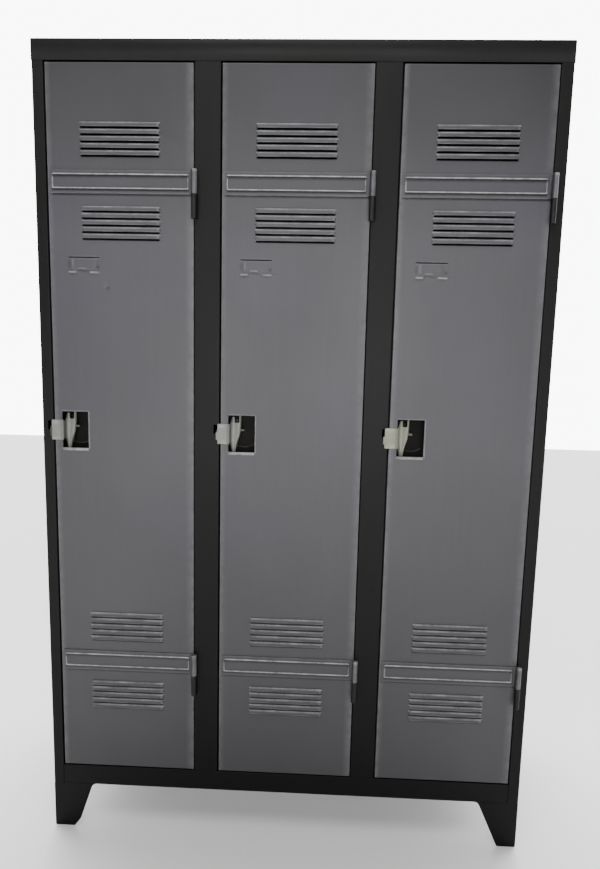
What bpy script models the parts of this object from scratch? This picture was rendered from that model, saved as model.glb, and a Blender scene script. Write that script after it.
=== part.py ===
"""Three-door sheet steel locker on four folded feet, with lift-off hinges and gravity latches.

Units are metres. +Z is up, the doors face -Y, and the origin is on the floor, under the middle
of the locker's box. Each door's pieces hang from an empty that stands on its hinge axis.
"""

import math

import bmesh
import bpy
from mathutils import Vector

# --- driving dimensions -------------------------------------------------------------------------
WIDTH = 1.118               # over the cap
DEPTH = 0.500               # cap's front flange to its rear flange
HEIGHT = 1.800
SHEET = 0.0008              # folded sheet of the carcase
DOOR_SHEET = 0.001
FIT = 0.0003                # gap between two touching pieces
BEND = 0.0015               # outer radius of a fold
LAP = SHEET + FIT           # how far the cap stands over the carcase

HEADER_H = 0.043            # depth of the cap's flanges
RAIL_BOTTOM = 0.113         # lower edge of the bottom rail
RAIL_TOP = 0.162

DOOR_PITCH = 0.3737
DOOR_W = 0.3133
DOOR_BOTTOM = 0.1645
DOOR_TOP = 1.754
DOOR_DEPTH = 0.018          # depth of the door's folded edges
LATCH_SIDE_GAP = 0.0035
HINGE_SIDE_GAP = 0.002
STOP_DEPTH = 0.021          # stiles and mullions fold in this far, then turn behind the door
STOP_LIP = 0.008

AXIS_OUT = 0.0028           # hinge axis, beyond the door's right edge
AXIS_FORWARD = 0.010        # hinge axis, in front of the door's face
KNUCKLE_R = 0.00625
KNUCKLE_H = 0.050
PIN_R = 0.004
BORE_R = PIN_R + FIT
BORE_DEPTH = 0.040
HINGES = {"upper": 1.5155, "lower": 0.4350}     # height of each strap's middle line
STRAP_H = 0.048
STRAP_T = 0.002
STRAP_START = 0.005         # from the door's left edge
BEAD_X = (0.011, 0.3006)    # outside of the raised bead, from the door's left edge
BEAD_Z = (0.0085, 0.0415)   # and from the strap's lower edge
BEAD_W = 0.0035
BEAD_RISE = 0.0015

LOUVRE_TOPS = (1.637, 1.4665, 0.5544, 0.3843)   # top of each group of slats
LOUVRE_COUNT = 5
LOUVRE_PITCH = 0.0143
LOUVRE_H = 0.011
LOUVRE_RISE = 0.0045
LOUVRE_W = 0.170

WINDOW = (0.017, 0.076)     # latch window across, from the door's left edge
WINDOW_Z = (0.941, 1.023)
POCKET_Z = (0.935, 1.037)
POCKET_DEPTH = 0.024
POCKET_RIM = 0.003          # pocket reaches this far past the window's sides
LEDGE_DEPTH = 0.006
CARD_SLIT = (0.039, 0.107)
CARD_SLIT_Z = (1.3585, 1.360)

LATCH_LIFT = 0.011          # how far the latch slides up
LATCH_T = 0.002
LATCH_PLATE = (-0.010, 0.0195)                  # across, from the door's left edge
LATCH_EAR = (-0.013, -0.009)                    # tab on the plate's left edge
LATCH_EAR_Z = (0.9675, 0.9855)
LATCH_PLATE_Z = (0.9585, 1.004)
TONGUE_Z = (0.9825, 0.9895)
TONGUE_REACH = 0.008
BLADE_BACK = 0.009           # blade's front, behind the door's sheet
KEEPER_SLOT = (-0.016, -0.0065)                 # across, from the door's left edge
KEEPER_SLOT_Z = (TONGUE_Z[0] - 0.0015, TONGUE_Z[1] + LATCH_LIFT + 0.001)
GUIDE_X = (0.0242, 0.0368)                      # across, from the door's left edge
GUIDE_LIP = 0.0033
GUIDE_DEPTH = 0.0066
TAIL_CLEARANCE = 0.0005

SHELF_Z = 1.480
SHELF_SETBACK = 0.045       # shelf's front edge, behind the doors' faces
SHELF_LIP = 0.020
RAIL_R = 0.0075
RAIL_Z = 1.430
HOOK_W = 0.016

FOOT_TOP_W = 0.095
FOOT_TOE_W = 0.044
FOOT_T = 0.002
FOOT_FLANGE = 0.022

# --- planes and edges worked out from them --------------------------------------------------------
FRONT_REACH = AXIS_FORWARD + KNUCKLE_R - LAP    # how far the hinges stand in front of the cap
FRONT_Y = (FRONT_REACH - DEPTH) / 2
BACK_Y = FRONT_Y + DEPTH
FACE_Y = FRONT_Y + LAP                          # stiles, mullions, rail and doors
SIDE_X = WIDTH / 2 - LAP                        # outer face of each side panel
INNER_X = SIDE_X - SHEET
BACK_PANEL_Y = BACK_Y - LAP - SHEET - FIT       # back panel's rear face
INNER_BACK_Y = BACK_PANEL_Y - SHEET - FIT
CAP_UNDERSIDE = HEIGHT - SHEET - FIT
TRAY_TOP = RAIL_TOP + 0.001
TRAY_H = 0.040
TRAY_FRONT_Y = FACE_Y + STOP_DEPTH + SHEET + FIT
PARTITION_X = DOOR_PITCH / 2
DOORS = {"left": -DOOR_PITCH, "middle": 0.0, "right": DOOR_PITCH}     # middle line of each door
DOOR_SHIFT = (-DOOR_W - AXIS_OUT, AXIS_FORWARD, 0)                     # door's corner to its hinge axis
GUIDE_BACK = DOOR_SHEET + POCKET_DEPTH - SHEET


# --- mesh helpers -----------------------------------------------------------------------------------
def clear_scene():
    for obj in list(bpy.data.objects):
        bpy.data.objects.remove(obj, do_unlink=True)


def make_material(name, colour, roughness, metallic):
    material = bpy.data.materials.new(name)
    material.use_nodes = True
    shader = material.node_tree.nodes["Principled BSDF"]
    shader.inputs["Base Color"].default_value = (*colour, 1)
    shader.inputs["Roughness"].default_value = roughness
    shader.inputs["Metallic"].default_value = metallic
    return material


def new_object(name, bm, material=None, parent=None, shift=(0, 0, 0)):
    """Turns a bmesh into a named object. shift moves the mesh into its parent's space."""
    bmesh.ops.translate(bm, verts=bm.verts, vec=shift)
    bmesh.ops.recalc_face_normals(bm, faces=bm.faces)
    mesh = bpy.data.meshes.new(name)
    bm.to_mesh(mesh)
    bm.free()
    obj = bpy.data.objects.new(name, mesh)
    bpy.context.collection.objects.link(obj)
    obj.parent = parent
    if material is None:
        obj.hide_render = True
        obj.display_type = "WIRE"
    else:
        mesh.materials.append(material)
    return obj


def combine(obj, operation, tool):
    modifier = obj.modifiers.new(operation.lower(), "BOOLEAN")
    modifier.operation = operation
    modifier.solver = "EXACT"
    modifier.object = tool


def smooth(obj, angle=40):
    obj.data.shade_smooth()
    obj.data.set_sharp_from_angle(angle=math.radians(angle))


def add_box(bm, low, high):
    size = [high[i] - low[i] for i in range(3)]
    centre = [(high[i] + low[i]) / 2 for i in range(3)]
    verts = bmesh.ops.create_cube(bm, size=1)["verts"]
    bmesh.ops.scale(bm, vec=size, verts=verts)
    bmesh.ops.translate(bm, vec=centre, verts=verts)
    return verts


def box(low, high):
    bm = bmesh.new()
    add_box(bm, low, high)
    return bm


def add_prism(bm, outline, axis, start, end):
    """Extrudes a flat outline along X, Y or Z. The outline's numbers are the other two axes in order."""
    def corner(point, level):
        numbers = list(point)
        numbers.insert("XYZ".index(axis), level)
        return bm.verts.new(numbers)

    rings = [[corner(point, level) for point in outline] for level in (start, end)]
    bm.faces.new(rings[0])
    bm.faces.new(rings[1][::-1])
    for i in range(len(outline)):
        j = (i + 1) % len(outline)
        bm.faces.new((rings[0][i], rings[0][j], rings[1][j], rings[1][i]))


def prism(outline, axis, start, end):
    bm = bmesh.new()
    add_prism(bm, outline, axis, start, end)
    return bm


def frame_prism(low, high, width, front, back):
    """A rectangular ring in the XZ plane, from (x, z) low to high, that runs from y front to back."""
    outer = [(low[0], low[1]), (high[0], low[1]), (high[0], high[1]), (low[0], high[1])]
    inner = [
        (low[0] + width, low[1] + width),
        (high[0] - width, low[1] + width),
        (high[0] - width, high[1] - width),
        (low[0] + width, high[1] - width),
    ]
    bm = bmesh.new()
    loops = [[bm.verts.new((x, y, z)) for x, z in loop] for y in (front, back) for loop in (outer, inner)]
    outer_front, inner_front, outer_back, inner_back = loops
    for i in range(4):
        j = (i + 1) % 4
        for first, second in (
            (outer_front, inner_front), (outer_back, inner_back),
            (outer_front, outer_back), (inner_front, inner_back),
        ):
            bm.faces.new((first[i], first[j], second[j], second[i]))
    bmesh.ops.recalc_face_normals(bm, faces=bm.faces)
    return bm


def add_cylinder(bm, centre, radius, length, axis="Z", segments=16):
    """A cylinder that starts at centre and runs length along +X or +Z."""
    def point(angle):
        return radius * math.cos(angle), radius * math.sin(angle)

    ring = [point(2 * math.pi * i / segments) for i in range(segments)]
    if axis == "Z":
        outline = [(centre[0] + a, centre[1] + b) for a, b in ring]
        add_prism(bm, outline, "Z", centre[2], centre[2] + length)
    else:
        outline = [(centre[1] + a, centre[2] + b) for a, b in ring]
        add_prism(bm, outline, "X", centre[0], centre[0] + length)


def rounded_path(points, radius, steps=3):
    """Replaces each inner corner of an open path with an arc."""
    path = [Vector(points[0])]
    for before, corner, after in zip(points, points[1:], points[2:]):
        corner = Vector(corner)
        to_before = (Vector(before) - corner).normalized()
        to_after = (Vector(after) - corner).normalized()
        half = to_before.angle(to_after) / 2
        centre = corner + (to_before + to_after).normalized() * (radius / math.sin(half))
        first = (corner + to_before * (radius / math.tan(half)) - centre).normalized()
        last = (corner + to_after * (radius / math.tan(half)) - centre).normalized()
        for step in range(steps + 1):
            path.append(centre + first.slerp(last, step / steps) * radius)
    path.append(Vector(points[-1]))
    return path


def folded_outline(points, thickness, radius=BEND):
    """Outline of a folded sheet. Its outer face follows points, and the sheet is on their left."""
    path = rounded_path(points, radius)
    inner = []
    for i, point in enumerate(path):
        along = [(path[j + 1] - path[j]).normalized() for j in (i - 1, i) if 0 <= j < len(path) - 1]
        left = [Vector((-direction.y, direction.x)) for direction in along]
        middle = sum(left, Vector((0, 0))).normalized()
        inner.append(point + middle * (thickness / middle.dot(left[0])))
    return path + inner[::-1]


def pan(low, high, wall, open_side):
    """A shallow tray: a box that is hollow and open on one side, with rounded outer folds."""
    axis = "XYZ".index(open_side[1])
    bm = bmesh.new()
    add_box(bm, low, high)
    sign = 1 if open_side[0] == "+" else -1
    mouth = max(bm.faces, key=lambda face: sign * face.calc_center_median()[axis])
    floor = min(bm.faces, key=lambda face: sign * face.calc_center_median()[axis])
    floor_edges = list(floor.edges)
    bmesh.ops.inset_region(bm, faces=[mouth], thickness=wall, use_even_offset=True)
    drop = [0, 0, 0]
    drop[axis] = -sign * (high[axis] - low[axis] - wall)
    well = bmesh.ops.extrude_face_region(bm, geom=[mouth])
    moved = [item for item in well["geom"] if isinstance(item, bmesh.types.BMVert)]
    bmesh.ops.translate(bm, verts=moved, vec=drop)
    bmesh.ops.delete(bm, geom=[mouth], context="FACES_ONLY")
    bmesh.ops.bevel(bm, geom=floor_edges, offset=BEND, segments=2, profile=0.5, affect="EDGES")
    return bm


# --- carcase ----------------------------------------------------------------------------------------
def stile_edge(side):
    """Where the left or right stile's front face ends, beside the outermost door."""
    if side < 0:
        return -DOOR_PITCH - DOOR_W / 2 - LATCH_SIDE_GAP
    return DOOR_PITCH + DOOR_W / 2 + HINGE_SIDE_GAP


def keeper_slot(name, door_centre):
    """Cutter for the slot that a door's latch tongue enters."""
    left = door_centre - DOOR_W / 2
    low = (left + KEEPER_SLOT[0], FACE_Y - 0.005, KEEPER_SLOT_Z[0])
    high = (left + KEEPER_SLOT[1], FACE_Y + 0.005, KEEPER_SLOT_Z[1])
    return new_object(name, box(low, high))


def side_panels(paint):
    for name, side in (("left", -1), ("right", 1)):
        edge = stile_edge(side)
        rear_flange = 0.015
        points = [
            (edge - side * STOP_LIP, FACE_Y + STOP_DEPTH),
            (edge, FACE_Y + STOP_DEPTH),
            (edge, FACE_Y),
            (side * SIDE_X, FACE_Y),
            (side * SIDE_X, BACK_Y - LAP),
            (side * (SIDE_X - rear_flange), BACK_Y - LAP),
        ]
        if side < 0:
            outline = folded_outline(points[::-1], SHEET)
        else:
            outline = folded_outline(points, SHEET)
        panel = prism(outline, "Z", RAIL_BOTTOM, CAP_UNDERSIDE)
        obj = new_object("side_panel_" + name, panel, paint)
        smooth(obj)
        if side < 0:
            combine(obj, "DIFFERENCE", keeper_slot("cutter_keeper_side", DOORS["left"]))


def mullions(paint):
    for name, left_door, right_door in (("left", "left", "middle"), ("right", "middle", "right")):
        low_x = DOORS[left_door] + DOOR_W / 2 + HINGE_SIDE_GAP
        high_x = DOORS[right_door] - DOOR_W / 2 - LATCH_SIDE_GAP
        points = [
            (low_x - STOP_LIP, FACE_Y + STOP_DEPTH),
            (low_x, FACE_Y + STOP_DEPTH),
            (low_x, FACE_Y),
            (high_x, FACE_Y),
            (high_x, FACE_Y + STOP_DEPTH),
            (high_x + STOP_LIP, FACE_Y + STOP_DEPTH),
        ]
        post = prism(folded_outline(points, SHEET), "Z", RAIL_TOP + FIT, CAP_UNDERSIDE)
        obj = new_object("mullion_" + name, post, paint)
        smooth(obj)
        combine(obj, "DIFFERENCE", keeper_slot("cutter_keeper_" + name, DOORS[right_door]))


def partitions(paint):
    rear_flange = 0.015
    for name, x in (("left", -PARTITION_X), ("right", PARTITION_X)):
        points = [
            (x - PARTITION_X + DOOR_W / 2 + HINGE_SIDE_GAP - STOP_LIP, TRAY_FRONT_Y),
            (x + SHEET / 2, TRAY_FRONT_Y),
            (x + SHEET / 2, INNER_BACK_Y - SHEET),
            (x + rear_flange, INNER_BACK_Y - SHEET),
        ]
        sheet = prism(folded_outline(points, SHEET), "Z", TRAY_TOP + FIT, CAP_UNDERSIDE)
        obj = new_object("partition_" + name, sheet, paint)
        smooth(obj)


def panels(paint):
    cap_low = (-WIDTH / 2, FRONT_Y, HEIGHT - HEADER_H)
    cap_high = (WIDTH / 2, BACK_Y, HEIGHT)
    smooth(new_object("top_cap", pan(cap_low, cap_high, SHEET, "-Z"), paint))

    tray_low = (-INNER_X + FIT, TRAY_FRONT_Y, TRAY_TOP - TRAY_H)
    tray_high = (INNER_X - FIT, INNER_BACK_Y, TRAY_TOP)
    smooth(new_object("floor_tray", pan(tray_low, tray_high, SHEET, "-Z"), paint))

    back_low = (-INNER_X + FIT, BACK_PANEL_Y - SHEET, RAIL_BOTTOM)
    back_high = (INNER_X - FIT, BACK_PANEL_Y, CAP_UNDERSIDE)
    new_object("back_panel", box(back_low, back_high), paint)


def bottom_rail(paint):
    lip = STOP_DEPTH - BEND - FIT
    points = [
        (FACE_Y + lip, RAIL_BOTTOM),
        (FACE_Y, RAIL_BOTTOM),
        (FACE_Y, RAIL_TOP),
        (FACE_Y + lip, RAIL_TOP),
    ]
    outline = folded_outline(points[::-1], SHEET)
    rail = prism(outline, "X", stile_edge(-1) + FIT, stile_edge(1) - FIT)
    smooth(new_object("bottom_rail", rail, paint))


def foot_plan(width, thickness, side, end, corner):
    """L-shaped plan of a foot, both wings running inwards from the locker's corner."""
    plan = [(0, 0), (width, 0), (width, thickness), (thickness, thickness), (thickness, width), (0, width)]
    return [(corner[0] - side * a, corner[1] - end * b) for a, b in plan]


def foot(name, side, end, paint):
    """A folded foot: two tapered wings, a toe turned in at the floor and a flange turned in on top."""
    corner = (side * SIDE_X, FACE_Y if end < 0 else BACK_Y - LAP)
    top = RAIL_BOTTOM - FIT
    bm = bmesh.new()
    rings = []
    for width, level in ((FOOT_TOE_W, 0), (FOOT_TOP_W, top)):
        plan = foot_plan(width, FOOT_T, side, end, corner)
        rings.append([bm.verts.new((x, y, level)) for x, y in plan])
    bm.faces.new(rings[0])
    bm.faces.new(rings[1][::-1])
    for i in range(len(rings[0])):
        j = (i + 1) % len(rings[0])
        bm.faces.new((rings[0][i], rings[0][j], rings[1][j], rings[1][i]))
    obj = new_object("foot_" + name, bm, paint)

    inset = FOOT_T / 2
    inner = (corner[0] - side * inset, corner[1] - end * inset)
    toe_w = FOOT_TOE_W - 2 * inset
    toe = [(0, 0), (toe_w, 0), (toe_w / 2, toe_w), (0, toe_w)]
    toe = [(inner[0] - side * a, inner[1] - end * b) for a, b in toe]
    turned_in = bmesh.new()
    add_prism(turned_in, toe, "Z", 0, FOOT_T)
    flange = foot_plan(FOOT_TOP_W - 2 * inset, FOOT_FLANGE, side, end, inner)
    add_prism(turned_in, flange, "Z", top - FOOT_T, top)
    combine(obj, "UNION", new_object("guide_foot_" + name, turned_in))


def feet(paint):
    for end_name, end in (("front", -1), ("rear", 1)):
        for side_name, side in (("left", -1), ("right", 1)):
            foot(end_name + "_" + side_name, side, end, paint)


def compartment(name, paint, steel):
    """Hat shelf, coat rail and coat hook of one compartment."""
    low_x = {"left": -INNER_X, "middle": -PARTITION_X + SHEET / 2, "right": PARTITION_X + SHEET / 2}[name]
    high_x = {"left": -PARTITION_X - SHEET / 2, "middle": PARTITION_X - SHEET / 2, "right": INNER_X}[name]
    low_x += FIT
    high_x -= FIT
    front = FACE_Y + SHELF_SETBACK
    back = INNER_BACK_Y - 2 * SHEET - BEND
    back_lip = 0.015
    points = [
        (front, SHELF_Z - SHELF_LIP),
        (front, SHELF_Z),
        (back, SHELF_Z),
        (back, SHELF_Z + back_lip),
    ]
    shelf = prism(folded_outline(points[::-1], SHEET), "X", low_x, high_x)
    smooth(new_object("hat_shelf_" + name, shelf, paint))

    middle_y = (front + back) / 2
    plate = 0.015
    plate_t = 0.002
    bar = bmesh.new()
    add_cylinder(bar, (low_x, middle_y, RAIL_Z), RAIL_R, high_x - low_x, axis="X")
    ends = bmesh.new()
    for x in (low_x, high_x - plate_t):
        add_box(ends, (x, middle_y - plate, RAIL_Z - plate), (x + plate_t, middle_y + plate, RAIL_Z + plate))
    rail = new_object("coat_rail_" + name, bar, steel)
    combine(rail, "UNION", new_object("guide_rail_" + name, ends))
    smooth(rail)

    hook_t = 0.002
    hook_top = SHELF_Z - SHEET - FIT
    hook_y = front + 0.060
    points = [
        (hook_y + 0.022, hook_top),
        (hook_y, hook_top),
        (hook_y, hook_top - 0.060),
        (hook_y - 0.024, hook_top - 0.060),
        (hook_y - 0.024, hook_top - 0.040),
    ]
    centre_x = (low_x + high_x) / 2
    outline = folded_outline(points, hook_t, 0.005)
    hook = prism(outline, "X", centre_x - HOOK_W / 2, centre_x + HOOK_W / 2)
    smooth(new_object("coat_hook_" + name, hook, steel))


def frame_hinge(name, axis_x, strap_z, paint, steel):
    """Lower half of a hinge: a knuckle on a short web against the frame, with the pin in it."""
    axis_y = FACE_Y - AXIS_FORWARD
    top = strap_z - STRAP_H / 2 - FIT
    pin_depth = 0.030
    bm = bmesh.new()
    add_cylinder(bm, (axis_x, axis_y, top - KNUCKLE_H), KNUCKLE_R, KNUCKLE_H)
    knuckle = new_object("frame_knuckle_" + name, bm, paint)
    web = [
        (axis_x + 0.001, axis_y + 0.001),
        (axis_x + KNUCKLE_R - 0.0005, axis_y + 0.001),
        (axis_x + KNUCKLE_R + 0.002, FACE_Y - FIT),
        (axis_x + 0.001, FACE_Y - FIT),
    ]
    web_object = new_object("guide_web_" + name, prism(web, "Z", top - KNUCKLE_H + 0.002, top - 0.002))
    combine(knuckle, "UNION", web_object)
    bore = bmesh.new()
    add_cylinder(bore, (axis_x, axis_y, top - pin_depth), BORE_R, pin_depth + 0.005)
    combine(knuckle, "DIFFERENCE", new_object("cutter_bore_" + name, bore))
    smooth(knuckle)

    pin = bmesh.new()
    add_cylinder(pin, (axis_x, axis_y, top - pin_depth + FIT), PIN_R, pin_depth + BORE_DEPTH - 0.002)
    smooth(new_object("hinge_pin_" + name, pin, steel))


# --- doors: X from the door's left edge, Y from its face inwards, Z from the floor -------------------
def louvre_hoods(bm):
    middle = DOOR_W / 2
    for top in LOUVRE_TOPS:
        for i in range(LOUVRE_COUNT):
            z = top - i * LOUVRE_PITCH
            hood = [(DOOR_SHEET / 2, z), (-LOUVRE_RISE, z - LOUVRE_H), (DOOR_SHEET / 2, z - LOUVRE_H)]
            add_prism(bm, hood, "X", middle - LOUVRE_W / 2, middle + LOUVRE_W / 2)


def louvre_slots(bm):
    """The air space under each hood, open downwards and through the door."""
    middle = DOOR_W / 2
    half = LOUVRE_W / 2 - DOOR_SHEET
    slope = LOUVRE_H / (LOUVRE_RISE + DOOR_SHEET / 2)
    behind = 2 * DOOR_SHEET
    lip = -LOUVRE_RISE + 1.1 * DOOR_SHEET
    for top in LOUVRE_TOPS:
        for i in range(LOUVRE_COUNT):
            low = top - i * LOUVRE_PITCH - LOUVRE_H
            space = [(lip, low - 0.0004), (behind, low - 0.0004), (behind, low + slope * (behind - lip))]
            add_prism(bm, space, "X", middle - half, middle + half)


def door_panel(name, empty, paint):
    bm = pan((0, 0, DOOR_BOTTOM), (DOOR_W, DOOR_DEPTH, DOOR_TOP), DOOR_SHEET, "+Y")
    door = new_object("door_panel_" + name, bm, paint, empty, DOOR_SHIFT)

    added = bmesh.new()
    louvre_hoods(added)
    ledge_low = (WINDOW[0] + FIT, DOOR_SHEET / 2, WINDOW_Z[0] - DOOR_SHEET)
    add_box(added, ledge_low, (WINDOW[1] - FIT, LEDGE_DEPTH, WINDOW_Z[0]))
    combine(door, "UNION", new_object("guide_hoods_" + name, added, None, empty, DOOR_SHIFT))

    openings = bmesh.new()
    louvre_slots(openings)
    through = 2 * DOOR_SHEET
    add_box(openings, (WINDOW[0], -through, WINDOW_Z[0]), (WINDOW[1], through, WINDOW_Z[1]))
    add_box(openings, (CARD_SLIT[0], -through, CARD_SLIT_Z[0]), (CARD_SLIT[1], through, CARD_SLIT_Z[1]))
    combine(door, "DIFFERENCE", new_object("cutter_door_" + name, openings, None, empty, DOOR_SHIFT))
    smooth(door, 25)


def door_stiffener(name, empty, paint):
    low, high = 0.264, 0.288
    lip = 0.006
    face = DOOR_SHEET + FIT
    depth = 0.012
    points = [
        (low - lip, face),
        (low, face),
        (low, face + depth),
        (high, face + depth),
        (high, face),
        (high + lip, face),
    ]
    outline = folded_outline(points, SHEET)
    channel = prism(outline, "Z", DOOR_BOTTOM + 0.025, DOOR_TOP - 0.025)
    smooth(new_object("door_stiffener_" + name, channel, paint, empty, DOOR_SHIFT))


def hinge_strap(name, empty, strap_z, paint):
    """A flat strap with a raised rectangular bead, and the knuckle at its end."""
    low_z = strap_z - STRAP_H / 2
    high_z = strap_z + STRAP_H / 2
    back = -FIT
    front = back - STRAP_T
    strap_end = DOOR_W - 0.008
    bm = box((STRAP_START, front, low_z), (strap_end, back, high_z))
    strap = new_object("hinge_strap_" + name, bm, paint, empty, DOOR_SHIFT)
    bead_low = (BEAD_X[0], low_z + BEAD_Z[0])
    bead_high = (BEAD_X[1], low_z + BEAD_Z[1])
    bead = frame_prism(bead_low, bead_high, BEAD_W, front - BEAD_RISE, front + STRAP_T / 2)
    combine(strap, "UNION", new_object("guide_bead_" + name, bead, None, empty, DOOR_SHIFT))

    axis_x = DOOR_W + AXIS_OUT
    neck = [
        (strap_end - 0.004, back),
        (strap_end - 0.004, front),
        (axis_x - KNUCKLE_R, -AXIS_FORWARD - 0.002),
        (axis_x, -AXIS_FORWARD - 0.002),
        (axis_x, -AXIS_FORWARD + 0.003),
        (DOOR_W - 0.001, back),
    ]
    barrel = bmesh.new()
    add_cylinder(barrel, (axis_x, -AXIS_FORWARD, low_z), KNUCKLE_R, KNUCKLE_H)
    combine(strap, "UNION", new_object("guide_barrel_" + name, barrel, None, empty, DOOR_SHIFT))
    web = prism(neck, "Z", low_z + 0.0005, high_z - 0.0005)
    combine(strap, "UNION", new_object("guide_neck_" + name, web, None, empty, DOOR_SHIFT))
    bore = bmesh.new()
    add_cylinder(bore, (axis_x, -AXIS_FORWARD, low_z - 0.005), BORE_R, BORE_DEPTH + 0.005)
    combine(strap, "DIFFERENCE", new_object("cutter_barrel_" + name, bore, None, empty, DOOR_SHIFT))
    smooth(strap)


def latch_pocket(name, empty, paint):
    front = DOOR_SHEET + FIT
    low = (WINDOW[0] - POCKET_RIM, front, POCKET_Z[0])
    high = (WINDOW[1] + POCKET_RIM, front + POCKET_DEPTH, POCKET_Z[1])
    smooth(new_object("latch_pocket_" + name, pan(low, high, SHEET, "-Y"), paint, empty, DOOR_SHIFT))


def latch_guide(name, empty, steel):
    """A C-shaped channel on the pocket's floor, open in front, in which the latch's tail slides."""
    front = GUIDE_BACK - GUIDE_DEPTH
    points = [
        (GUIDE_X[0] + GUIDE_LIP, front),
        (GUIDE_X[0], front),
        (GUIDE_X[0], GUIDE_BACK),
        (GUIDE_X[1], GUIDE_BACK),
        (GUIDE_X[1], front),
        (GUIDE_X[1] - GUIDE_LIP, front),
    ]
    outline = folded_outline(points[::-1], SHEET, 0.0012)
    channel = prism(outline, "Z", 0.950, 1.012)
    smooth(new_object("latch_guide_" + name, channel, steel, empty, DOOR_SHIFT))


def latch(name, empty, paint):
    """Gravity latch: a plate over the frame, a tapered blade in the window and a tail in the guide."""
    plate_y = (-0.0005 - LATCH_T, -0.0005)
    blade_y = (DOOR_SHEET + BLADE_BACK, DOOR_SHEET + BLADE_BACK + LATCH_T)
    plate_low = (LATCH_PLATE[0], plate_y[0], LATCH_PLATE_Z[0])
    obj = new_object(
        "latch_" + name,
        box(plate_low, (LATCH_PLATE[1], plate_y[1], LATCH_PLATE_Z[1])),
        paint, empty, DOOR_SHIFT)

    foot_z = WINDOW_Z[0] - 0.0025
    prong_z = WINDOW_Z[1] - 0.0005
    notch_z = 1.005
    blade = [
        (0.0240, foot_z), (0.0325, foot_z), (0.0335, 0.950), (0.0365, 0.962), (0.0415, 0.977),
        (0.0435, 0.9895), (0.0530, 0.9900), (0.0530, 0.9935), (0.0438, 0.9935), (0.0448, prong_z),
        (0.0402, prong_z), (0.0400, notch_z), (0.0305, notch_z), (0.0295, 1.019), (0.0245, 1.019),
        (0.0195, 1.004), (0.0188, 0.961),
    ]
    step_x = (WINDOW[0] + 0.0005, 0.0200)
    neck_x = (GUIDE_X[0] + GUIDE_LIP + 0.0008, GUIDE_X[1] - GUIDE_LIP - 0.0008)
    tail_x = (GUIDE_X[0] + SHEET + TAIL_CLEARANCE, GUIDE_X[1] - SHEET - TAIL_CLEARANCE)
    tail_y = (GUIDE_BACK - GUIDE_DEPTH + SHEET + TAIL_CLEARANCE, GUIDE_BACK - SHEET - TAIL_CLEARANCE)
    tongue_low = (LATCH_PLATE[0], plate_y[0] + LATCH_T / 2, TONGUE_Z[0])
    ear_low = (LATCH_EAR[0], plate_y[0], LATCH_EAR_Z[0])
    pieces = {
        "ear": box(ear_low, (LATCH_EAR[1], plate_y[1], LATCH_EAR_Z[1])),
        "blade": prism(blade, "Y", *blade_y),
        "step": box((step_x[0], plate_y[0] + LATCH_T / 4, 0.961), (step_x[1], blade_y[1] - LATCH_T / 4, 1.002)),
        "neck": box((neck_x[0], blade_y[0] + LATCH_T / 2, 0.963), (neck_x[1], tail_y[0] + 0.001, 0.987)),
        "tail": box((tail_x[0], tail_y[0], 0.962), (tail_x[1], tail_y[1], 0.988)),
        "tongue": box(tongue_low, (LATCH_PLATE[0] + LATCH_T, TONGUE_REACH, TONGUE_Z[1])),
    }
    for piece_name, bm in pieces.items():
        piece = new_object("guide_" + piece_name + "_" + name, bm, None, empty, DOOR_SHIFT)
        combine(obj, "UNION", piece)


def door_empty(name, centre_x):
    empty = bpy.data.objects.new("hinge_axis_" + name, None)
    empty.location = (centre_x + DOOR_W / 2 + AXIS_OUT, FACE_Y - AXIS_FORWARD, 0)
    bpy.context.collection.objects.link(empty)
    return empty


def build():
    clear_scene()
    black = make_material("charcoal_paint", (0.030, 0.031, 0.032), 0.45, 0.0)
    grey = make_material("slate_paint", (0.125, 0.125, 0.145), 0.50, 0.0)
    cream = make_material("cream_paint", (0.42, 0.43, 0.33), 0.55, 0.0)
    steel = make_material("zinc_steel", (0.50, 0.50, 0.50), 0.35, 1.0)

    side_panels(black)
    mullions(black)
    partitions(black)
    panels(black)
    bottom_rail(black)
    feet(black)
    for name, centre_x in DOORS.items():
        compartment(name, black, steel)
        empty = door_empty(name, centre_x)
        door_panel(name, empty, grey)
        door_stiffener(name, empty, grey)
        latch_pocket(name, empty, black)
        latch_guide(name, empty, steel)
        latch(name, empty, cream)
        for level, strap_z in HINGES.items():
            hinge = name + "_" + level
            hinge_strap(hinge, empty, strap_z, grey)
            frame_hinge(hinge, empty.location.x, strap_z, black, steel)


build()
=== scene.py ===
"""Looks for the three-door sheet steel locker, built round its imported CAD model."""

import math

import bmesh
import bpy
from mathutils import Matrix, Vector


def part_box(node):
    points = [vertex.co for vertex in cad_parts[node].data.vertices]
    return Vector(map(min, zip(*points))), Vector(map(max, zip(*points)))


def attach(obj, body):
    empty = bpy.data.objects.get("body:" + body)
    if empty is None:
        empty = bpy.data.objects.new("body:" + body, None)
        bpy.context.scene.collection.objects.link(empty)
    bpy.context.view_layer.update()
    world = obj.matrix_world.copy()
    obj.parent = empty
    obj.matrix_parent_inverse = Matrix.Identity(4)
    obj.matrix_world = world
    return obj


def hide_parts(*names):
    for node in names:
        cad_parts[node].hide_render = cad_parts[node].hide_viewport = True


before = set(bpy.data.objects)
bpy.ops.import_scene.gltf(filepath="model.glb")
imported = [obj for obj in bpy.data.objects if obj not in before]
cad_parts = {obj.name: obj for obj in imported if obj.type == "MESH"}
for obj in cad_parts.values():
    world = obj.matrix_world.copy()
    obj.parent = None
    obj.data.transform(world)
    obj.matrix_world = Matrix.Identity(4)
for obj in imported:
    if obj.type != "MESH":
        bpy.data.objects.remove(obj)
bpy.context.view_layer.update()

# --- sizes that the CAD model doesn't hold as boxes, in metres ------------------------------------
DOORS = ("left", "middle", "right")
LEVELS = ("upper", "lower")
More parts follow.
